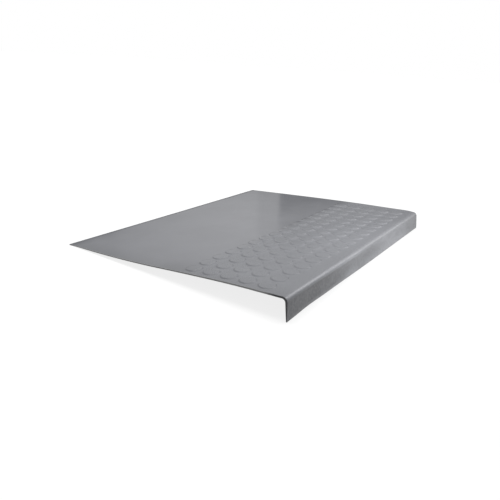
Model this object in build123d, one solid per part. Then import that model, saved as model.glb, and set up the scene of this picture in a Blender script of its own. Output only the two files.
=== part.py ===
from build123d import *
import math
import os

# Moulded rubber stair tread: a thin tapering sheet, bent down at the front into a square nosing,
# with a field of low round studs on the walking surface behind the nose.
# X runs along the step, -Y is the nosing side and +Z is up. Millimetres.

# Sheet
tread_length = 686.0
tread_depth = 518.0
thickness_at_nose = 3.6
thickness_at_back = 2.0

# Nosing flap
nosing_drop = 42.0
flap_thickness_at_nose = 3.6
flap_thickness_at_toe = 1.8
nose_radius = 9.0
inner_nose_radius = 5.4

# Rounding of the flap's toe and of the back edge
edge_radius = 0.5

# Studs
stud_diameter = 32.0
stud_height = 1.5
stud_bevel = 2.4
stud_pitch = 38.1
stud_rows = 5
first_row_setback = 46.5
end_margin = 24.4


def side_section():
    """Closed outline in the YZ plane, with the nosing face on Y = 0 and the walking surface on Z = 0."""
    toe_front = (0, -nosing_drop)
    nose = (0, 0)
    back_top = (tread_depth, 0)
    back_bottom = (tread_depth, -thickness_at_back)
    step_corner = (flap_thickness_at_nose, -thickness_at_nose)
    toe_back = (flap_thickness_at_toe, -nosing_drop)
    outline = FilletPolyline(
        toe_front, nose, back_top, back_bottom, step_corner, toe_back,
        radius=[edge_radius, nose_radius, edge_radius, edge_radius, inner_nose_radius, edge_radius],
        close=True,
    )
    return make_face(Plane.YZ * outline)


def stud_centres():
    """Square grid that fills the length, counted from the end with the narrow margin."""
    usable_length = tread_length - 2 * end_margin
    stud_columns = math.floor(usable_length / stud_pitch) + 1
    return [
        (end_margin + column * stud_pitch, first_row_setback + row * stud_pitch, 0)
        for column in range(stud_columns)
        for row in range(stud_rows)
    ]


def stud():
    """Low disc with a bevelled rim, standing on Z = 0."""
    base_radius = stud_diameter / 2
    rim = Polyline(
        (0, 0),
        (base_radius, 0),
        (base_radius - stud_bevel, stud_height),
        (0, stud_height),
        close=True,
    )
    return revolve(make_face(Plane.XZ * rim), Axis.Z)


def resting_pitch():
    """Angle in degrees between the walking surface and the line under the toe and the back edge."""
    run = tread_depth - flap_thickness_at_toe
    rise = nosing_drop - thickness_at_back
    return math.degrees(math.atan2(rise, run))


def moulded_tread():
    """Sheet and studs in one solid, with the walking surface level and one end on X = 0."""
    sheet = extrude(side_section(), amount=tread_length, dir=(1, 0, 0))
    one_stud = stud()
    return sheet + [Pos(*centre) * one_stud for centre in stud_centres()]


def laid_on_floor(tread):
    """Tilted back until it stands on its toe and back edge, then centred over the origin."""
    tilted = Rot(X=-resting_pitch()) * tread
    box = tilted.bounding_box()
    middle = box.center()
    return Pos(-middle.X, -middle.Y, -box.min.Z) * tilted


os.makedirs("parts", exist_ok=True)
stair_tread = laid_on_floor(moulded_tread())
export_step(stair_tread, "parts/stair_tread.step")
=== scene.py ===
import math

import bpy
import numpy as np
from mathutils import Matrix, Vector


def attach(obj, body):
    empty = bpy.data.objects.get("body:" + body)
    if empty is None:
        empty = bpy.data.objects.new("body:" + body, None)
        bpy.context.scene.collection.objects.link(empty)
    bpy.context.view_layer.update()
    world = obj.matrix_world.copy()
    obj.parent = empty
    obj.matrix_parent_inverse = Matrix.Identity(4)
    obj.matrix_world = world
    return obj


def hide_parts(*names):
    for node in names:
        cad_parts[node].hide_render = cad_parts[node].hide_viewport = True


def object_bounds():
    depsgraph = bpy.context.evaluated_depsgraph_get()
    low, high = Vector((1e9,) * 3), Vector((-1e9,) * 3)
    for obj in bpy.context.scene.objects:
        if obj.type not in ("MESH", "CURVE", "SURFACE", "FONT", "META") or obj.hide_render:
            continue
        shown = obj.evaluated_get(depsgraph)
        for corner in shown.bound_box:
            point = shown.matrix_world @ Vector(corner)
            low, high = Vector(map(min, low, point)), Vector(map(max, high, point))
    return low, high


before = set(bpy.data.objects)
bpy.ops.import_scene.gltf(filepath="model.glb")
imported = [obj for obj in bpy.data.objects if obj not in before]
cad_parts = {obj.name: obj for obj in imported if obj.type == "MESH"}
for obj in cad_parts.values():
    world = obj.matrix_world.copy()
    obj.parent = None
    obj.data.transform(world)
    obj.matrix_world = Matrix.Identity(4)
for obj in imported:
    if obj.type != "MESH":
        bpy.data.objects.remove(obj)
cad_low, cad_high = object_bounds()

# Sizes in metres, in the tread's own frame: X along the step from the end near the camera, Y from the
# nosing face to the back edge, Z up from the walking surface. In the scene it rests tilted back on the
# floor, on the toe of its flap and its back edge.
LENGTH = cad_high.x - cad_low.x
DEPTH = 0.518
THICKNESS_AT_NOSE = 0.0036
THICKNESS_AT_BACK = 0.0020
NOSING_DROP = 0.042
FLAP_THICKNESS_AT_NOSE = 0.0045
FLAP_THICKNESS_AT_TOE = 0.0018
NOSE_RADIUS = 0.009
INNER_NOSE_RADIUS = 0.0065
EDGE_RADIUS = 0.0005
CUT_EDGE_ROUNDING = 0.0003
REST_PITCH = math.atan2(NOSING_DROP - THICKNESS_AT_BACK, DEPTH - FLAP_THICKNESS_AT_TOE)

STUD_RADIUS = 0.016
STUD_HEIGHT = 0.0015
STUD_PITCH = 0.0381
STUD_ROWS = 5
FIRST_ROW_SETBACK = 0.0465
END_MARGIN = 0.0244
STUD_COLUMNS = math.floor((LENGTH - 2 * END_MARGIN) / STUD_PITCH) + 1

# A stud's soft shoulder: the width of its bevel, how far the shoulder reaches to each side of the bevel's
# middle, and the radius of the innermost ring on the flat top as a share of that middle
STUD_BEVEL = 0.0022
SHOULDER_REACH = STUD_BEVEL * 0.75
INNERMOST_RING_SHARE = 0.55

# Wear: the shares of its height and radius between which a stud's rim gets worn, how far from the nose's
# arc its wear reaches and over what distance it sets in from the arc's ends, and how high the toe's goes
STUD_WEAR_HEIGHTS = (0.60, 0.95)
STUD_WEAR_RADII = (0.75, 0.90)
NOSE_WEAR_REACH = NOSE_RADIUS * 0.35
NOSE_WEAR_FADE = NOSE_RADIUS * 0.5
TOE_WEAR_REACH = 0.002

# Density of the mesh: steps along each side of a stud's cell, round an arc and up a stud's shoulder, the
# longest steps elsewhere, and the angle from which an edge is sharp
CELL_STEPS = 12
NOSE_ARC_STEPS = 12
EDGE_ARC_STEPS = 3
SHOULDER_RINGS = 7
TOP_STEP = 0.010
STEP_BEFORE_STUDS = 0.005
UNDERSIDE_STEP = 0.020
SHARP_ANGLE = math.radians(35)

# Corners of the section, in order from the back edge over the top
BACK_TOP, NOSE, TOE_FRONT, TOE_BACK, INNER_NOSE, BACK_BOTTOM = range(6)

# Material slots of the tread's mesh
MOULDED, UNDERSIDE, CUT_END = range(3)


def ease(low, high, value):
    """Smooth step from 0 at low to 1 at high."""
    share = min(1.0, max(0.0, (value - low) / (high - low)))
    return share * share * (3 - 2 * share)


def ease_all(low, high, values):
    """The same smooth step for an array of values."""
    shares = np.clip((values - low) / (high - low), 0.0, 1.0)
    return shares * shares * (3 - 2 * shares)


def blend(first, second, share):
    return first + (second - first) * share


def linked_object(name, data):
    thing = bpy.data.objects.new(name, data)
    bpy.context.scene.collection.objects.link(thing)
    return thing


# Section of the tread

def corner_arc(before, corner, after, radius, steps):
    """Points of the arc that rounds a corner, from the side of before to the side of after."""
    to_before = (before - corner) / np.linalg.norm(before - corner)
    to_after = (after - corner) / np.linalg.norm(after - corner)
    half_angle = math.acos(float(np.clip(to_before @ to_after, -1, 1))) / 2
    middle = (to_before + to_after) / np.linalg.norm(to_before + to_after)
    centre = corner + middle * radius / math.sin(half_angle)
    spoke = corner + to_before * radius / math.tan(half_angle) - centre
    last_spoke = corner + to_after * radius / math.tan(half_angle) - centre
    sweep = math.copysign(math.pi - 2 * half_angle, spoke[0] * last_spoke[1] - spoke[1] * last_spoke[0])
    points = []
    for turn in np.linspace(0.0, sweep, steps + 1):
        cos, sin = math.cos(turn), math.sin(turn)
        points.append(centre + (spoke[0] * cos - spoke[1] * sin, spoke[0] * sin + spoke[1] * cos))
    return points


def spread(first, last, longest):
    """Values from first up to but without last, in equal steps no longer than given."""
    rounding = 1e-9
    steps = max(1, math.ceil(abs(last - first) / longest - rounding))
    return [first + (last - first) * step / steps for step in range(steps)]


def stud_zone_lines(first_centre, count):
    """Mesh lines across a row of stud cells, from its first border to its last."""
    border = first_centre - STUD_PITCH / 2
    return [border + STUD_PITCH * step / CELL_STEPS for step in range(count * CELL_STEPS + 1)]


def section_arcs():
    """The arc at each corner of the section."""
    corners = {
        BACK_TOP: ((DEPTH, 0), EDGE_RADIUS, EDGE_ARC_STEPS),
        NOSE: ((0, 0), NOSE_RADIUS, NOSE_ARC_STEPS),
        TOE_FRONT: ((0, -NOSING_DROP), EDGE_RADIUS, EDGE_ARC_STEPS),
        TOE_BACK: ((FLAP_THICKNESS_AT_TOE, -NOSING_DROP), EDGE_RADIUS, EDGE_ARC_STEPS),
        INNER_NOSE: ((FLAP_THICKNESS_AT_NOSE, -THICKNESS_AT_NOSE), INNER_NOSE_RADIUS, NOSE_ARC_STEPS),
        BACK_BOTTOM: ((DEPTH, -THICKNESS_AT_BACK), EDGE_RADIUS, EDGE_ARC_STEPS),
    }
    places = [np.array(corners[i][0], float) for i in range(len(corners))]
    return [
        corner_arc(places[i - 1], places[i], places[(i + 1) % len(places)], *corners[i][1:])
        for i in range(len(corners))
    ]


def section_outline():
    """Closed section (y, z) from the back edge over the top, the index where the stud zone starts, and
    the first and last index of the underside."""
    arcs = section_arcs()
    stud_lines = stud_zone_lines(FIRST_ROW_SETBACK, STUD_ROWS)[::-1]
    behind_studs = spread(arcs[BACK_TOP][-1][0], stud_lines[0], TOP_STEP)[1:]
    before_studs = spread(stud_lines[-1], arcs[NOSE][0][0], STEP_BEFORE_STUDS)
    points = list(arcs[BACK_TOP])
    points += [np.array((y, 0.0)) for y in behind_studs]
    stud_start = len(points)
    points += [np.array((y, 0.0)) for y in stud_lines[:-1] + before_studs]
    arc_starts = {}
    for i in range(NOSE, len(arcs)):
        arc_starts[i] = len(points)
        points += arcs[i]
        start, end = arcs[i][-1], arcs[(i + 1) % len(arcs)][0]
        longest = UNDERSIDE_STEP if i == INNER_NOSE else TOP_STEP
        length = float(np.linalg.norm(end - start))
        points += [start + (end - start) * run / length for run in spread(0.0, length, longest)[1:]]
    underside_first = arc_starts[TOE_BACK] + EDGE_ARC_STEPS
    return np.array(points), stud_start, underside_first, arc_starts[BACK_BOTTOM]


# Mesh of the tread

class MeshParts:
    """Vertices in the tread's own frame with their wear, and faces with their material slots."""

    def __init__(self):
        self.vertices = []
        self.wear = []
        self.faces = []
        self.slots = []

    def vertex(self, x, y, z, wear=0.0):
        self.vertices.append((x, y, z))
        self.wear.append(wear)
        return len(self.vertices) - 1

    def face(self, corners, slot):
        self.faces.append(corners)
        self.slots.append(slot)


def stud_rings():
    """Radius and height of each ring of a stud, from the sheet to the flat top."""
    middle = STUD_RADIUS - STUD_BEVEL / 2
    rings = [
        (middle + SHOULDER_REACH * (1 - 2 * share), STUD_HEIGHT * ease(0.0, 1.0, share))
        for share in np.linspace(0.0, 1.0, SHOULDER_RINGS)
    ]
    rings.append((middle - SHOULDER_REACH * 2, STUD_HEIGHT))
    rings.append((middle * INNERMOST_RING_SHARE, STUD_HEIGHT))
    return rings


def add_stud(parts, border, centre):
    """Rings of quads from the border of a stud cell up to a stud, closed by a fan. The border starts at
    the corner towards the near end and the back edge."""
    first_angle = math.radians(135)
    count = len(border)
    outer = border
    for radius, height in stud_rings():
        inner = []
        wear = ease(*STUD_WEAR_HEIGHTS, height / STUD_HEIGHT) * ease(*STUD_WEAR_RADII, radius / STUD_RADIUS)
        for step in range(count):
            angle = 2 * math.pi * (step / count) + first_angle
            x, y = centre[0] + radius * math.cos(angle), centre[1] + radius * math.sin(angle)
            inner.append(parts.vertex(x, y, height, wear))
        for step in range(count):
            following = (step + 1) % count
            parts.face((outer[step], outer[following], inner[following], inner[step]), MOULDED)
        outer = inner
    middle = parts.vertex(centre[0], centre[1], STUD_HEIGHT)
    for step in range(count):
        parts.face((outer[step], outer[(step + 1) % count], middle), MOULDED)


def stud_cell_border(grid, i, k):
    """Vertices round the stud cell whose first corner is at these lines of the grid."""
    steps = range(CELL_STEPS)
    border = [grid[i, k + step] for step in steps]
    border += [grid[i + step, k + CELL_STEPS] for step in steps]
    border += [grid[i + CELL_STEPS, k + CELL_STEPS - step] for step in steps]
    border += [grid[i + CELL_STEPS - step, k] for step in steps]
    return border


def nose_wear(y, z):
    """1 along the middle of the nose's outer arc and along the flap's toe, 0 elsewhere."""
    from_face = abs(math.hypot(y - NOSE_RADIUS, z + NOSE_RADIUS) - NOSE_RADIUS)
    arc = 1 - ease(0.0, NOSE_WEAR_REACH, from_face)
    arc *= ease(0.0, NOSE_WEAR_FADE, NOSE_RADIUS - y) * ease(0.0, NOSE_WEAR_FADE, NOSE_RADIUS + z)
    return max(arc, ease(0.0, TOE_WEAR_REACH, TOE_WEAR_REACH - NOSING_DROP - z))


def inset_section(section, distance):
    """The section with each point moved into the rubber."""
    ahead = np.roll(section, -1, axis=0) - np.roll(section, 1, axis=0)
    normals = np.stack([-ahead[:, 1], ahead[:, 0]], axis=1)
    normals /= np.linalg.norm(normals, axis=1, keepdims=True)
    area = np.sum(section[:, 0] * np.roll(section[:, 1], -1) - np.roll(section[:, 0], -1) * section[:, 1])
    return section + normals * distance * math.copysign(1.0, area)


def lines_along_step():
    """Places of the mesh's lines across the tread, and the index where the stud zone starts."""
    stud_lines = stud_zone_lines(END_MARGIN, STUD_COLUMNS)
    longest = STUD_PITCH / CELL_STEPS
    lines = spread(CUT_EDGE_ROUNDING, stud_lines[0], longest)
    stud_start = len(lines)
    lines += stud_lines[:-1]
    lines += spread(stud_lines[-1], LENGTH - CUT_EDGE_ROUNDING, longest)
    lines.append(LENGTH - CUT_EDGE_ROUNDING)
    return lines, stud_start


def tread_parts():
    """The whole tread as one closed mesh in its own frame."""
    section, row_start, underside_first, underside_last = section_outline()
    lines, column_start = lines_along_step()
    row_end = row_start + STUD_ROWS * CELL_STEPS
    column_end = column_start + STUD_COLUMNS * CELL_STEPS
    parts = MeshParts()

    def in_cell(i, k):
        across = column_start < i < column_end and (i - column_start) % CELL_STEPS
        along = row_start < k < row_end and (k - row_start) % CELL_STEPS
        return bool(across and along)

    grid = {
        (i, k): parts.vertex(x, y, z, nose_wear(y, z))
        for i, x in enumerate(lines)
        for k, (y, z) in enumerate(section)
        if not in_cell(i, k)
    }
    around = len(section)
    for i in range(len(lines) - 1):
        for k in range(around):
            if column_start <= i < column_end and row_start <= k < row_end:
                continue
            after = (k + 1) % around
            slot = UNDERSIDE if underside_first <= k < underside_last else MOULDED
            parts.face((grid[i, k], grid[i, after], grid[i + 1, after], grid[i + 1, k]), slot)

    for i in range(column_start, column_end, CELL_STEPS):
        for k in range(row_start, row_end, CELL_STEPS):
            centre = (lines[i] + STUD_PITCH / 2, section[k][0] - STUD_PITCH / 2)
            add_stud(parts, stud_cell_border(grid, i, k), centre)

    inset = inset_section(section, CUT_EDGE_ROUNDING)
    for x, i, flip in ((0.0, 0, False), (LENGTH, len(lines) - 1, True)):
        rim = [parts.vertex(x, y, z) for y, z in inset]
        for k in range(around):
            after = (k + 1) % around
            corners = (rim[k], rim[after], grid[i, after], grid[i, k])
            parts.face(corners[::-1] if flip else corners, CUT_END)
        parts.face(rim if flip else rim[::-1], CUT_END)
    return parts


# Lie of the sheet

# The sheet is flexible, so it doesn't lie quite flat. Each wave is the place of its middle (x, y), its
# spread along x and y, and its height.
WAVES = (
    ((0.200, 0.110), (0.160, 0.062), 0.0025),
    ((0.540, 0.090), (0.110, 0.060), -0.0026),
    ((0.000, 0.360), (0.060, 0.100), -0.0032),
    ((0.000, 0.518), (0.060, 0.050), 0.0009),
    ((0.750, 0.330), (0.250, 0.220), 0.0016),
)
# The waves grow from none at the nose to their full height at this place, and a sag fades out over this
# distance from the back edge, which lies on the floor
FULL_WAVE = 0.075
SAG_FADE = 0.050

# The rows of studs don't run quite along the nose: their shift at the near end, and past the given place
# along the step. It is full between two places y, and fades to none at two others in front and behind.
ROW_DRIFT = (0.0055, -0.0045)
ROW_DRIFT_REACH = 0.350
NO_DRIFT = (NOSE_RADIUS, 0.300)
FULL_DRIFT = (0.030, 0.222)

# The far end isn't cut quite square: how far it is set back at the flap's toe, how far in from the end and
# from the nosing face that reaches, and the power with which it fades towards the back
END_OUT_OF_SQUARE = 0.014
OUT_OF_SQUARE_REACH = (0.033, 0.170)
OUT_OF_SQUARE_POWER = 1.5
# How far it is set back at the nose, and how far from the nosing face that difference reaches
END_OUT_OF_SQUARE_AT_NOSE = 0.0215
SET_BACK_NOSE_REACH = 0.040
# How far the corner at that end of the nose is worn down, and how far behind the nosing face that starts
WORN_CORNER = 0.0007
WORN_CORNER_REACH = 0.030

# How far the flap's toe is tucked in under the nose: place along x, spread to each side, distance
TUCKS = (
    (0.075, 0.032, 0.0017),
    (0.160, 0.085, 0.0019),
)
# What lies in front of this place y is the nose and the flap
FLAP_ZONE = NOSE_RADIUS * 2


def bell(values, middle, spread_each_way):
    """Bell curve of height 1 round the middle."""
    return np.exp(-0.5 * ((values - middle) / spread_each_way) ** 2)


def slack(vertices):
    """How far each vertex of the slack rubber lies from the straight tread's, in the scene's frame."""
    x, y, z = vertices.T
    lift = np.zeros(len(x))
    for (middle_x, middle_y), (spread_x, spread_y), height in WAVES:
        lift += height * bell(x, middle_x, spread_x) * bell(y, middle_y, spread_y)
    lift *= ease_all(NOSE_RADIUS, FULL_WAVE, y)
    lift = np.where(lift < 0, lift * ease_all(DEPTH, DEPTH - SAG_FADE, y), lift)

    drift = blend(*ROW_DRIFT, ease_all(0.0, ROW_DRIFT_REACH, x))
    for no_drift, full_drift in zip(NO_DRIFT, FULL_DRIFT):
        drift *= ease_all(no_drift, full_drift, y)

    down = ease_all(0.0, NOSING_DROP, -z) * (y < FLAP_ZONE)
    tuck = np.zeros(len(x))
    for middle, spread_each_side, distance in TUCKS:
        tuck += distance * bell(x, middle, spread_each_side)

    end = np.clip((x - LENGTH) / OUT_OF_SQUARE_REACH[0] + 1, 0.0, 1.0)
    front = np.clip(1 - y / OUT_OF_SQUARE_REACH[1], 0.0, 1.0) ** OUT_OF_SQUARE_POWER
    at_nose = (1 - down) * np.clip(1 - y / SET_BACK_NOSE_REACH, 0.0, 1.0)
    set_back = blend(END_OUT_OF_SQUARE, END_OUT_OF_SQUARE_AT_NOSE, at_nose) * end * front
    lift -= WORN_CORNER * end ** 2 * (1 - down) * ease_all(WORN_CORNER_REACH, NOSE_RADIUS, y)
    return np.stack([-set_back, tuck * down + drift, lift], axis=1)


def resting_matrix(vertices):
    """From the tread's own frame to the scene's, where its box has the place of the CAD box."""
    tilt = Matrix.Rotation(-REST_PITCH, 4, "X")
    turned = vertices @ np.array(tilt.to_3x3()).T
    low, high = turned.min(axis=0), turned.max(axis=0)
    shift = Vector((
        (cad_low.x + cad_high.x - low[0] - high[0]) / 2,
        (cad_low.y + cad_high.y - low[1] - high[1]) / 2,
        cad_low.z - low[2],
    ))
    return Matrix.Translation(shift) @ tilt


def make_tread():
    """The tread's object, slack and at rest inside the CAD box, and its resting matrix."""
    parts = tread_parts()
    vertices = np.array(parts.vertices)
    rest = resting_matrix(vertices)
    placed = vertices @ np.array(rest.to_3x3()).T + np.array(rest.translation) + slack(vertices)
    placed = np.clip(placed, np.array(cad_low), np.array(cad_high))
    mesh = bpy.data.meshes.new("moulded_tread")
    mesh.from_pydata(placed.tolist(), [], parts.faces)
    mesh.polygons.foreach_set("material_index", parts.slots)
    place = mesh.attributes.new("place", "FLOAT_VECTOR", "POINT")
    place.data.foreach_set("vector", vertices.ravel())
    wear = mesh.attributes.new("wear", "FLOAT", "POINT")
    wear.data.foreach_set("value", parts.wear)
    mesh.validate()
    mesh.shade_smooth()
    mesh.set_sharp_from_angle(angle=SHARP_ANGLE)
    return linked_object("moulded_tread", mesh), rest


tread, rest_matrix = make_tread()


# Materials

# Greys of the rubber and of its worn edges, then the cut end's painted shade at the nose and its painted
# light towards the back, with the places y between which the one turns into the other
RUBBER_GREY = (0.2310, 0.2360, 0.2550)
WORN_GREY = (0.270, 0.275, 0.292)
PAINTED_SHADE_CUT_GREY = (0.105, 0.106, 0.112)
PAINTED_LIGHT_CUT_GREY = (0.520, 0.520, 0.525)
PAINTED_CUT_FADE = (0.018, 0.042)

# Roughness at a low and at a high level of each face's pattern, what it is where the rubber is worn, and
# what the flap adds to it
POLISHED_ROUGHNESS = (0.085, 0.130)
SATIN_ROUGHNESS = (0.25, 0.33)
UNDERSIDE_ROUGHNESS = (0.62, 0.74)
CUT_ROUGHNESS = (0.68, 0.80)
WORN_ROUGHNESS = 0.22
ROUGHER_FLAP = 0.14
# Places y between which the satin front turns into the polished back
SATIN_EDGE = (0.180, 0.220)

# Noise of each pattern: scale per metre, detail and roughness. A stretch is how much finer it is along
# x, y and z.
CLOUDS = (11.0, 3.0, 0.55)
MOTTLE = (140.0, 3.0, 0.6)
BLOTCHES = (26.0, 3.0, 0.6)
BLOTCH_STRETCH = (1.0, 1.0, 2.0)
SPECKS = (190.0, 4.0, 0.8)
WEAR_GAPS = (90.0, 2.0, 0.6)
SMUDGES = (16.0, 3.0, 0.6)
SMUDGE_STRETCH = (1.0, 3.0, 1.0)
GRAIN = (900.0, 2.0, 0.6)
PALE_AREAS = (25.0, 3.0, 0.6)
SANDING = (60.0, 3.0, 0.6)
SANDING_STRETCH = (1.0, 14.0, 14.0)
KNIFE_MARKS = (420.0, 3.0, 0.6)
KNIFE_STRETCH = (1.0, 4.0, 1.0)

# Where a pattern shows: two levels of its noise, and its share at the one and at the other
CLOUD_SHARES = (0.35, 0.65, 0.0, 1.0)
MOTTLE_SHARES = (0.50, 0.72, 0.0, 0.5)
WEAR_SHARES = (0.35, 0.70, 0.15, 0.8)
SANDED_SHARES = (0.50, 0.75, 0.0, 0.5)
# Levels between which most of any noise lies
NOISE_LEVELS = (0.3, 0.7)

# Factors on the grey
CLOUD_FACTORS = (0.975, 1.025)
MOTTLE_FACTOR = 0.93
PAINTED_LIGHT_FACTOR = 1.17
NEAR_END_DARKER_FACTOR = 0.78
NEAR_FLAP_PAINTED_SHADE_FACTOR = 0.73
UNDERSIDE_FACTORS = (0.82, 0.94)
SANDED_FACTOR = 1.08
KNIFE_MARK_FACTOR = 1.3

# Lighter and darker marks all over the nose and the flap: where they show, as above, and the factor on
# the grey
BLOTCH_MARKS = (
    ((0.45, 0.65, 0.0, 0.35), 1.30),
    ((0.35, 0.55, 0.35, 0.0), 0.70),
)
SPECK_MARKS = (
    ((0.50, 0.62, 0.0, 0.5), 1.35),
    ((0.38, 0.50, 0.5, 0.0), 0.55),
)
# Painted shade: places x between which the darker near part of the flap, which faces down into shade, turns
# into the rest, with the share at each
NEAR_FLAP_PAINTED_SHADE_SHARES = (0.10, 0.30, 1.0, 0.0)

# Painted light: a lighter patch over the middle of the front, standing in for a broad sheen that falls
# there: middle and spread
PAINTED_LIGHT_PATCH = ((0.370, 0.060, 0.0), (0.200, 0.085, 1.0))

# Darker in a strip along the near end and in patches at two places of it: the places x where the strip
# starts and ends with its share at each, and the middle and spread of each patch
NEAR_END_STRIP_SHARES = (0.0, 0.050, 0.6, 0.0)
NEAR_END_DARKER_PATCHES = (
    ((0.000, 0.518, 0.0), (0.045, 0.040, 1.0)),
    ((0.000, 0.235, 0.0), (0.050, 0.060, 1.0)),
)

# Painted highlights along the nose's arc, and painted light and painted shade on the flap and its toe:
# middle, spread, and the factor on the grey
PAINTED_LIGHT_AND_SHADE_PATCHES = (
    ((0.110, 0.002, -0.0035), (0.170, 0.005, 0.004), 1.48),
    ((0.225, 0.002, -0.0058), (0.105, 0.006, 0.0034), 1.72),
    ((0.250, 0.000, -0.039), (0.040, 0.008, 0.014), 1.58),
    ((0.350, 0.000, -0.020), (0.070, 0.008, 0.012), 0.72),
    ((0.520, 0.000, -0.036), (0.115, 0.008, 0.010), 1.32),
    ((0.100, 0.000, -0.040), (0.040, 0.008, 0.004), 1.55),
    ((0.175, 0.000, -0.0395), (0.085, 0.008, 0.003), 1.65),
)
# How many spreads from its middle a patch ends
PATCH_END = 1.5

# Relief of the patterns, in metres
GRAIN_HEIGHT = 0.00006
SANDING_HEIGHT = 0.00008
KNIFE_MARK_HEIGHT = 0.00008

# Sockets of the Mix node by number, because their names repeat
MIX_SHARE = 0
MIX_NUMBERS = (2, 3)
MIX_COLOURS = (6, 7)
MIXED_NUMBER = 0
MIXED_COLOUR = 2


class Nodes:
    """Short names for building a material's node tree."""

    def __init__(self, name):
        self.material = bpy.data.materials.new(name)
        self.material.use_nodes = True
        self.tree = self.material.node_tree
        self.shader = self.tree.nodes["Principled BSDF"]

    def add(self, kind, inputs, **settings):
        node = self.tree.nodes.new("ShaderNode" + kind)
        for key, value in settings.items():
            setattr(node, key, value)
        for key, value in inputs.items():
            self.join(value, node.inputs[key])
        return node

    def join(self, value, socket):
        """Sets a socket to a value, or links an output to it."""
        if isinstance(value, bpy.types.NodeSocket):
            self.tree.links.new(value, socket)
        else:
            socket.default_value = value

    def place(self):
        """Place in the tread's own frame, in metres."""
        return self.add("Attribute", {}, attribute_name="place").outputs["Vector"]

    def wear(self):
        """How worn the rubber is, from 0 to 1."""
        return self.add("Attribute", {}, attribute_name="wear").outputs["Fac"]

    def along_axes(self, vector):
        """The parts of a vector along x, y and z."""
        split = self.add("SeparateXYZ", {0: vector})
        return split.outputs["X"], split.outputs["Y"], split.outputs["Z"]

    def stretched(self, vector, scale):
        return self.add("VectorMath", {0: vector, 1: scale}, operation="MULTIPLY").outputs[0]

    def noise(self, vector, scale, detail, roughness):
        inputs = {"Vector": vector, "Scale": scale, "Detail": detail, "Roughness": roughness}
        return self.add("TexNoise", inputs).outputs["Fac"]

    def ramp(self, value, low, high, at_low, at_high):
        """Smooth change from at_low where the value is low to at_high where it is high."""
        inputs = {"Value": value, "From Min": low, "From Max": high, "To Min": at_low, "To Max": at_high}
        return self.add("MapRange", inputs, interpolation_type="SMOOTHSTEP").outputs[0]

    def combine(self, operation, first, second):
        return self.add("Math", {0: first, 1: second}, operation=operation).outputs[0]

    def mix(self, share, first, second):
        """Mix of two numbers."""
        inputs = {MIX_SHARE: share, MIX_NUMBERS[0]: first, MIX_NUMBERS[1]: second}
        return self.add("Mix", inputs, data_type="FLOAT").outputs[MIXED_NUMBER]

    def mix_colour(self, share, first, second):
        """Mix of two colours, each an output or three numbers."""
        node = self.add("Mix", {MIX_SHARE: share}, data_type="RGBA")
        for colour, socket in zip((first, second), MIX_COLOURS):
            is_output = isinstance(colour, bpy.types.NodeSocket)
            self.join(colour if is_output else (*colour, 1.0), node.inputs[socket])
        return node.outputs[MIXED_COLOUR]

    def tint(self, share, colour, factor):
        """The colour, mixed by the share with the rubber's grey times a factor."""
        return self.mix_colour(share, colour, scaled(RUBBER_GREY, factor))

    def patch(self, place, middle, spreads):
        """1 at the middle of a soft patch, 0 beyond its end."""
        offset = self.add("VectorMath", {0: place, 1: middle}, operation="SUBTRACT").outputs[0]
        offset = self.stretched(offset, tuple(1 / size for size in spreads))
        distance = self.add("VectorMath", {0: offset}, operation="LENGTH").outputs["Value"]
        return self.ramp(distance, 0.0, PATCH_END, 1.0, 0.0)

    def finished(self, colour, roughness, relief, relief_height):
        """The material, with these on its shader."""
        self.join(colour, self.shader.inputs["Base Color"])
        self.join(roughness, self.shader.inputs["Roughness"])
        bump = self.add("Bump", {"Height": relief, "Distance": relief_height})
        self.join(bump.outputs["Normal"], self.shader.inputs["Normal"])
        return self.material


def scaled(colour, factor):
    return tuple(channel * factor for channel in colour)


def grey_with_painted_light(nodes, place, along, satin):
    """Grey with clouds, a mottle on the satin part, a patch of painted light on the front, and darker along
    the near end.
    """
    clouds = nodes.ramp(nodes.noise(place, *CLOUDS), *CLOUD_SHARES)
    colour = nodes.mix_colour(clouds, *(scaled(RUBBER_GREY, factor) for factor in CLOUD_FACTORS))
    mottle = nodes.ramp(nodes.noise(place, *MOTTLE), *MOTTLE_SHARES)
    colour = nodes.tint(nodes.combine("MULTIPLY", mottle, satin), colour, MOTTLE_FACTOR)
    # Painted light: lighter in a patch over the middle of the front, where a broad sheen falls
    colour = nodes.tint(nodes.patch(place, *PAINTED_LIGHT_PATCH), colour, PAINTED_LIGHT_FACTOR)
    # Darker in a strip along the near end and in two patches there
    near_end_darker = nodes.ramp(along, *NEAR_END_STRIP_SHARES)
    for middle, spreads in NEAR_END_DARKER_PATCHES:
        near_end_darker = nodes.combine("MAXIMUM", near_end_darker, nodes.patch(place, middle, spreads))
    return nodes.tint(near_end_darker, colour, NEAR_END_DARKER_FACTOR)


def marked_on_flap(nodes, colour, flap, pattern, marks):
    """The colour with marks on the flap where the pattern's noise is high and where it is low."""
    for shares, factor in marks:
        share = nodes.combine("MULTIPLY", flap, nodes.ramp(pattern, *shares))
        colour = nodes.tint(share, colour, factor)
    return colour


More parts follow.
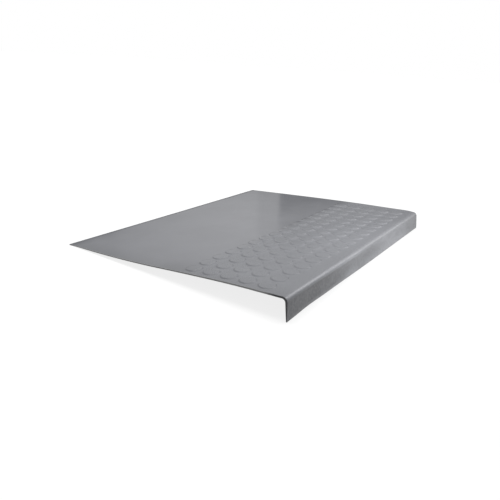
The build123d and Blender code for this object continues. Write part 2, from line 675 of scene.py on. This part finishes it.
def moulded_rubber():
    """Polished behind the studs, satin with a fine grain over the studs, the nose and the flap, with
    painted light, highlights and shade on the nose and the flap.
    """
    nodes = Nodes("rubber_moulded")
    place = nodes.place()
    along, depth, height = nodes.along_axes(place)
    satin = nodes.ramp(depth, *SATIN_EDGE, 1.0, 0.0)
    flap = nodes.ramp(height, -NOSE_RADIUS, -NOSE_RADIUS / 2, 1.0, 0.0)
    worn = nodes.combine("MULTIPLY", nodes.wear(), nodes.ramp(nodes.noise(place, *WEAR_GAPS), *WEAR_SHARES))

    colour = grey_with_painted_light(nodes, place, along, satin)
    # Painted shade on the near part of the flap
    near_flap_painted_shade = nodes.combine("MULTIPLY", flap, nodes.ramp(along, *NEAR_FLAP_PAINTED_SHADE_SHARES))
    colour = nodes.tint(near_flap_painted_shade, colour, NEAR_FLAP_PAINTED_SHADE_FACTOR)
    blotches = nodes.noise(nodes.stretched(place, BLOTCH_STRETCH), *BLOTCHES)
    colour = marked_on_flap(nodes, colour, flap, blotches, BLOTCH_MARKS)
    colour = nodes.mix_colour(worn, colour, WORN_GREY)
    # Painted highlights on the nose's arc, and painted light and shade on the flap and its toe
    for middle, spreads, factor in PAINTED_LIGHT_AND_SHADE_PATCHES:
        colour = nodes.tint(nodes.patch(place, middle, spreads), colour, factor)
    colour = marked_on_flap(nodes, colour, flap, nodes.noise(place, *SPECKS), SPECK_MARKS)

    smudges = nodes.noise(nodes.stretched(place, SMUDGE_STRETCH), *SMUDGES)
    polished = nodes.ramp(smudges, *NOISE_LEVELS, *POLISHED_ROUGHNESS)
    grain = nodes.noise(place, *GRAIN)
    matt = nodes.ramp(grain, *NOISE_LEVELS, *SATIN_ROUGHNESS)
    matt = nodes.combine("ADD", matt, nodes.combine("MULTIPLY", flap, ROUGHER_FLAP))
    roughness = nodes.mix(worn, nodes.mix(satin, polished, matt), WORN_ROUGHNESS)
    return nodes.finished(colour, roughness, nodes.combine("MULTIPLY", grain, satin), GRAIN_HEIGHT)


def underside_rubber():
    """Matt back with faint marks of sanding along the step."""
    nodes = Nodes("rubber_underside")
    place = nodes.place()
    pale = nodes.ramp(nodes.noise(place, *PALE_AREAS), *NOISE_LEVELS, 0.0, 1.0)
    colour = nodes.mix_colour(pale, *(scaled(RUBBER_GREY, factor) for factor in UNDERSIDE_FACTORS))
    sanding = nodes.noise(nodes.stretched(place, SANDING_STRETCH), *SANDING)
    colour = nodes.tint(nodes.ramp(sanding, *SANDED_SHARES), colour, SANDED_FACTOR)
    roughness = nodes.ramp(sanding, *NOISE_LEVELS, *UNDERSIDE_ROUGHNESS)
    return nodes.finished(colour, roughness, sanding, SANDING_HEIGHT)


def cut_rubber():
    """Matt end with the marks of the knife, and painted shade at the nose that turns into painted light
    towards the back.
    """
    nodes = Nodes("rubber_cut_end")
    place = nodes.place()
    knife = nodes.noise(nodes.stretched(place, KNIFE_STRETCH), *KNIFE_MARKS)
    marks = nodes.ramp(knife, *NOISE_LEVELS, 0.0, 1.0)
    # Painted shade: the cut end is darkened near the nose, where it lies in shade
    dark = nodes.mix_colour(marks, PAINTED_SHADE_CUT_GREY, scaled(PAINTED_SHADE_CUT_GREY, KNIFE_MARK_FACTOR))
    depth = nodes.along_axes(place)[1]
    # Painted light: towards the back the cut end turns pale, standing in for light falling on it
    colour = nodes.mix_colour(nodes.ramp(depth, *PAINTED_CUT_FADE, 0.0, 1.0), dark, PAINTED_LIGHT_CUT_GREY)
    roughness = nodes.ramp(knife, *NOISE_LEVELS, *CUT_ROUGHNESS)
    return nodes.finished(colour, roughness, knife, KNIFE_MARK_HEIGHT)


for rubber in (moulded_rubber(), underside_rubber(), cut_rubber()):
    tread.data.materials.append(rubber)
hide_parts("stair_tread")
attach(tread, "root")


# Camera, placed in the tread's own frame

IMAGE_SIZE = 500
SENSOR_WIDTH = 36.0
FOCAL_PIXELS = 513.0
CLIP_START = 0.01
CLIP_END = 100.0
CAMERA_PLACE = Vector((-0.6351, -0.3565, 0.3080))
CAMERA_AZIMUTH = math.radians(-56.19)
CAMERA_ELEVATION = math.radians(17.645)
CAMERA_ROLL = math.radians(-0.27)


def make_camera():
    data = bpy.data.cameras.new("camera")
    data.sensor_width = SENSOR_WIDTH
    data.lens = SENSOR_WIDTH * FOCAL_PIXELS / IMAGE_SIZE
    data.clip_start = CLIP_START
    data.clip_end = CLIP_END
    camera = linked_object("camera", data)
    turn = (
        Matrix.Rotation(CAMERA_AZIMUTH, 4, "Z")
        @ Matrix.Rotation(math.pi / 2 - CAMERA_ELEVATION, 4, "X")
        @ Matrix.Rotation(CAMERA_ROLL, 4, "Z")
    )
    camera.matrix_world = rest_matrix @ Matrix.Translation(CAMERA_PLACE) @ turn
    bpy.context.scene.camera = camera


make_camera()


# Studio, set out in the tread's own frame so that upright edges reflect upright in its surface. Directions
# are in degrees: azimuth 0 is behind the back edge and 90 is past the far end of the tread. A pair of
# directions is where a change starts and where it is complete.

STUDIO_RADIUS = 8.0
# The dome's mesh lines: the azimuths once round and the step between them, the lowest elevation, the one
# from which its steps of 1 turn into that same step, and the top
SHELL_AZIMUTHS = (-120, 240)
SHELL_STEP = 4
SHELL_LOWEST = -6
SHELL_COARSE_START = 30
SHELL_TOP = 90

# Wall behind the tread, which brightens upwards from the floor. Its left part is darker, less so higher up.
WALL_GLOW = 0.64
WALL_RISE = (2, 16)
LEFT_SHARE = 0.2
LEFT_FADE = (38, 54)
LEFT_FADE_STEP = 0.5
LEFT_FADE_POWER = 0.4
HIGHER_LEFT_LIFT = 0.5
HIGHER_LEFT_RISE = (14, 20)
UPPER_WALL_GLOW = 0.90
UPPER_WALL_RISE = (22, 30)
UPPER_WALL_START = (40, 50)

# Strip a little darker than the wall, and beside it the dark panel, which is less dark higher up. Both
# have a crisp left edge, with mesh lines at these steps from it.
STRIP_SHARE = 0.84
STRIP_EDGE = 56.95
DARK_PANEL_GLOW = (0.05, 0.55)
DARK_PANEL_RISE = (11, 18.5)
DARK_PANEL_EDGE = 59.8
CRISP_HALF_WIDTH = 0.15
CRISP_EDGE_STEPS = (-0.2, -0.1, 0.0, 0.1, 0.2)

# Side of the studio, from the end of the dark panel on, with a bright panel high up and one at the front
SIDE_GLOW = 0.25
SIDE_START = (75, 85)
HIGH_PANEL_GLOW = 4.6
HIGH_PANEL_RISE = (23, 36)
HIGH_PANEL_START = (84, 110)
FRONT_PANEL_GLOW = 2.2
FRONT_PANEL_RISE = (-4, 16)
FRONT_PANEL_START = (102, 113)
PANELS_END = (118, 127)

# Ceiling, which comes down lower past the far end and the nosing
CEILING_GLOW = 1.6
CEILING_TILT = 0.25
CEILING_EDGE = (0.72, 0.98)

# Strength of the even fill from all round
FILL = 0.26

# Floor: how far it reaches, its grey for light that bounces, and its grey and its own glow where it is
# seen. The glow rises to white between these distances from the middle.
FLOOR_REACH = 40.0
FLOOR_BOUNCE = 0.20
FLOOR_SHADE = 0.24
FLOOR_GLOW = 0.82
FAR_FLOOR_GLOW = 1.0
FLOOR_GLOW_RISE = (0.6, 2.2)

# Softboxes in the tread's own frame: place, target, width and height, and watts
SOFTBOXES = {
    "overhead_softbox": ((0.5, 0.6, 2.6), (0.35, 0.2, 0), (2.0, 2.0), 61),
    "low_front_card": ((0.44, -0.30, 0.12), (0.44, 0, -0.02), (0.26, 0.1), 0.71),
    "floor_bounce": ((0.45, -0.20, -0.045), (0.45, 0, -0.025), (0.28, 0.012), 0.155),
}


def crisp(edge, azimuth):
    return ease(edge - CRISP_HALF_WIDTH, edge + CRISP_HALF_WIDTH, azimuth)


def wall_glow(azimuth, elevation):
    """Brightness of the wall behind the tread, with its strip and its dark panel."""
    left_fade = min(1.0, max(0.0, (azimuth - LEFT_FADE[0]) / (LEFT_FADE[1] - LEFT_FADE[0])))
    left = blend(LEFT_SHARE, 1.0, left_fade ** LEFT_FADE_POWER)
    wall = WALL_GLOW * ease(*WALL_RISE, elevation)
    wall *= blend(left, 1.0, HIGHER_LEFT_LIFT * ease(*HIGHER_LEFT_RISE, elevation))
    wall *= blend(1.0, STRIP_SHARE, crisp(STRIP_EDGE, azimuth))
    dark = blend(*DARK_PANEL_GLOW, ease(*DARK_PANEL_RISE, elevation))
    wall = blend(wall, dark, crisp(DARK_PANEL_EDGE, azimuth))
    upper = ease(*UPPER_WALL_RISE, elevation) * ease(*UPPER_WALL_START, azimuth)
    return blend(wall, UPPER_WALL_GLOW, upper)


def side_glow(azimuth, elevation):
    """Brightness of the studio's side, with its two panels."""
    high_panel = ease(*HIGH_PANEL_RISE, elevation) * ease(*HIGH_PANEL_START, azimuth)
    front_panel = ease(*FRONT_PANEL_RISE, elevation) * ease(*FRONT_PANEL_START, azimuth)
    panels = blend(SIDE_GLOW, HIGH_PANEL_GLOW, high_panel) + FRONT_PANEL_GLOW * front_panel
    return blend(panels, SIDE_GLOW, ease(*PANELS_END, azimuth))


def direction(azimuth, elevation):
    a, e = math.radians(azimuth), math.radians(elevation)
    return Vector((math.sin(a) * math.cos(e), math.cos(a) * math.cos(e), math.sin(e)))


def studio_glow(azimuth, elevation):
    """Brightness of the studio in one direction."""
    side_share = ease(*SIDE_START, azimuth)
    around = blend(wall_glow(azimuth, elevation), side_glow(azimuth, elevation), side_share)
    far, back, up = direction(azimuth, elevation)
    ceiling = ease(*CEILING_EDGE, up + CEILING_TILT * (far - back))
    return blend(around, CEILING_GLOW, ceiling)


def shell_azimuths():
    """Mesh lines of the dome, closer at the crisp edges and where the left part of the wall fades."""
    lines = set(range(SHELL_AZIMUTHS[0], SHELL_AZIMUTHS[1] + 1, SHELL_STEP))
    for edge in (STRIP_EDGE, DARK_PANEL_EDGE):
        lines.update(edge + step for step in CRISP_EDGE_STEPS)
    fade_steps = round((LEFT_FADE[1] - LEFT_FADE[0]) / LEFT_FADE_STEP)
    lines.update(LEFT_FADE[0] + step * LEFT_FADE_STEP for step in range(fade_steps + 1))
    return sorted(lines)


def stage_material(name):
    """Empty material of the studio that isn't sampled as a lamp, its nodes, its links and its output."""
    material = bpy.data.materials.new(name)
    material.use_nodes = True
    material.cycles.emission_sampling = "NONE"
    nodes, links = material.node_tree.nodes, material.node_tree.links
    nodes.clear()
    return material, nodes, links, nodes.new("ShaderNodeOutputMaterial")


def make_studio_shell():
    """Dome that shows only in the tread's gloss, and neither lights nor shades anything."""
    azimuths = shell_azimuths()
    elevations = list(range(SHELL_LOWEST, SHELL_COARSE_START))
    elevations += range(SHELL_COARSE_START, SHELL_TOP, SHELL_STEP)
    directions, glow = [], []
    for azimuth in azimuths:
        for elevation in elevations:
            directions.append(direction(azimuth, elevation))
            glow.append(studio_glow(azimuth, elevation))
    rows = len(elevations)
    faces = [
        (i * rows + k, i * rows + k + 1, (i + 1) * rows + k + 1, (i + 1) * rows + k)
        for i in range(len(azimuths) - 1)
        for k in range(rows - 1)
    ]
    top = len(directions)
    directions.append(Vector((0, 0, 1)))
    glow.append(CEILING_GLOW)
    faces += [(i * rows + rows - 1, top, (i + 1) * rows + rows - 1) for i in range(len(azimuths) - 1)]
    centre = Vector((LENGTH / 2, DEPTH / 2, 0))
    mesh = bpy.data.meshes.new("studio_shell")
    mesh.from_pydata([rest_matrix @ (centre + way * STUDIO_RADIUS) for way in directions], [], faces)
    attribute = mesh.attributes.new("glow", "FLOAT", "POINT")
    attribute.data.foreach_set("value", glow)

    material, nodes, links, output = stage_material("studio_shell")
    emission = nodes.new("ShaderNodeEmission")
    brightness = nodes.new("ShaderNodeAttribute")
    brightness.attribute_name = "glow"
    links.new(brightness.outputs["Fac"], emission.inputs["Strength"])
    links.new(emission.outputs["Emission"], output.inputs["Surface"])
    mesh.materials.append(material)
    shell = linked_object("studio_shell", mesh)
    shell.visible_camera = False
    shell.visible_diffuse = False
    shell.visible_shadow = False


def seen_share(nodes, links):
    """1 for what the camera sees, straight or in gloss, and 0 for light that bounces."""
    path = nodes.new("ShaderNodeLightPath")
    total = path.outputs["Is Camera Ray"]
    for name in ("Is Glossy Ray", "Is Transmission Ray"):
        either = nodes.new("ShaderNodeMath")
        either.operation = "MAXIMUM"
        links.new(total, either.inputs[0])
        links.new(path.outputs[name], either.inputs[1])
        total = either.outputs[0]
    return total


def diffuse_grey(nodes, grey):
    shader = nodes.new("ShaderNodeBsdfDiffuse")
    shader.inputs["Color"].default_value = (grey, grey, grey, 1)
    return shader.outputs[0]


def floor_glow(nodes, links):
    """Light of the floor itself, which rises to white away from the tread."""
    place = nodes.new("ShaderNodeTexCoord")
    distance = nodes.new("ShaderNodeVectorMath")
    distance.operation = "LENGTH"
    links.new(place.outputs["Object"], distance.inputs[0])
    rise = nodes.new("ShaderNodeMapRange")
    rise.interpolation_type = "SMOOTHSTEP"
    rise.inputs["From Min"].default_value = FLOOR_GLOW_RISE[0]
    rise.inputs["From Max"].default_value = FLOOR_GLOW_RISE[1]
    rise.inputs["To Min"].default_value = FLOOR_GLOW
    rise.inputs["To Max"].default_value = FAR_FLOOR_GLOW
    links.new(distance.outputs["Value"], rise.inputs["Value"])
    glow = nodes.new("ShaderNodeEmission")
    links.new(rise.outputs[0], glow.inputs["Strength"])
    return glow.outputs[0]


def make_floor():
    """Pale floor that looks white, with only a faint shadow under the tread."""
    mesh = bpy.data.meshes.new("floor")
    corners = [(x * FLOOR_REACH, y * FLOOR_REACH, 0) for x, y in ((-1, -1), (1, -1), (1, 1), (-1, 1))]
    mesh.from_pydata(corners, [], [(0, 1, 2, 3)])
    floor = linked_object("floor", mesh)
    material, nodes, links, output = stage_material("floor")
    white = nodes.new("ShaderNodeAddShader")
    links.new(diffuse_grey(nodes, FLOOR_SHADE), white.inputs[0])
    links.new(floor_glow(nodes, links), white.inputs[1])
    mix = nodes.new("ShaderNodeMixShader")
    links.new(seen_share(nodes, links), mix.inputs["Fac"])
    links.new(diffuse_grey(nodes, FLOOR_BOUNCE), mix.inputs[1])
    links.new(white.outputs[0], mix.inputs[2])
    links.new(mix.outputs[0], output.inputs["Surface"])
    mesh.materials.append(material)


def make_world():
    """White to the camera and in gloss, with an even fill for the rest."""
    world = bpy.data.worlds.new("studio")
    bpy.context.scene.world = world
    world.use_nodes = True
    nodes, links = world.node_tree.nodes, world.node_tree.links
    background = nodes["Background"]
    background.inputs["Color"].default_value = (1, 1, 1, 1)
    strength = nodes.new("ShaderNodeMapRange")
    strength.inputs["To Min"].default_value = FILL
    links.new(seen_share(nodes, links), strength.inputs["Value"])
    links.new(strength.outputs[0], background.inputs["Strength"])


def softbox(name, place, target, size, watts):
    """Area lamp that shows neither to the camera nor in gloss."""
    data = bpy.data.lights.new(name, "AREA")
    data.shape = "RECTANGLE"
    data.size, data.size_y = size
    data.energy = watts
    lamp = linked_object(name, data)
    place, target = rest_matrix @ Vector(place), rest_matrix @ Vector(target)
    lamp.location = place
    lamp.rotation_mode = "QUATERNION"
    lamp.rotation_quaternion = (target - place).to_track_quat("-Z", "Y")
    lamp.visible_camera = False
    lamp.visible_glossy = False


make_studio_shell()
make_floor()
make_world()
for name, settings in SOFTBOXES.items():
    softbox(name, *settings)

bpy.context.scene.view_settings.view_transform = "Standard"
